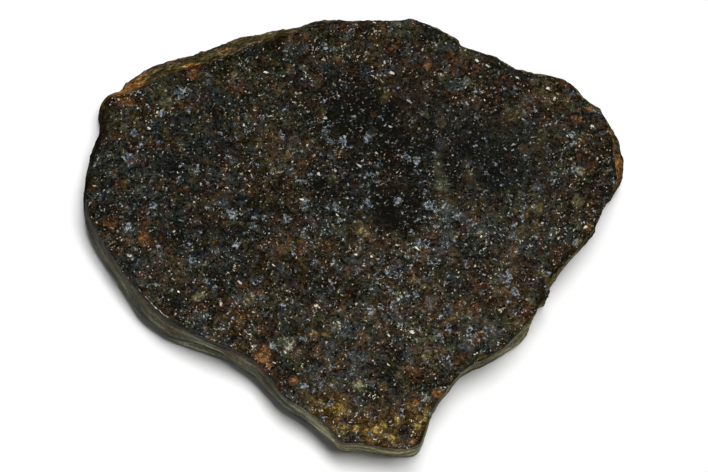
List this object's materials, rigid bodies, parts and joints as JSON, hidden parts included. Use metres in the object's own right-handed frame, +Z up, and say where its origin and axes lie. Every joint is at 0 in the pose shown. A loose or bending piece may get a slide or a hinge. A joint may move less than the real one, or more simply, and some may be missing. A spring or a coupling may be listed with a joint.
{
  "type": "chondrite meteorite slice",
  "caption": "Flat slice of a stony chondrite meteorite with a polished speckled face and a rough natural rim.",
  "frame": {"origin": "middle of the slice's footprint, on the surface it lies on", "axes": "+X along the slice's longest way across, +Y towards its long straight top edge as pictured, +Z up out of the polished face"},
  "size_m": [0.042, 0.0356, 0.0042],
  "materials": {
    "chondrite_stone": "polished"
  },
  "bodies": {
    "root": {"meteorite_slice": "chondrite_stone"}
  },
  "joints": []
}
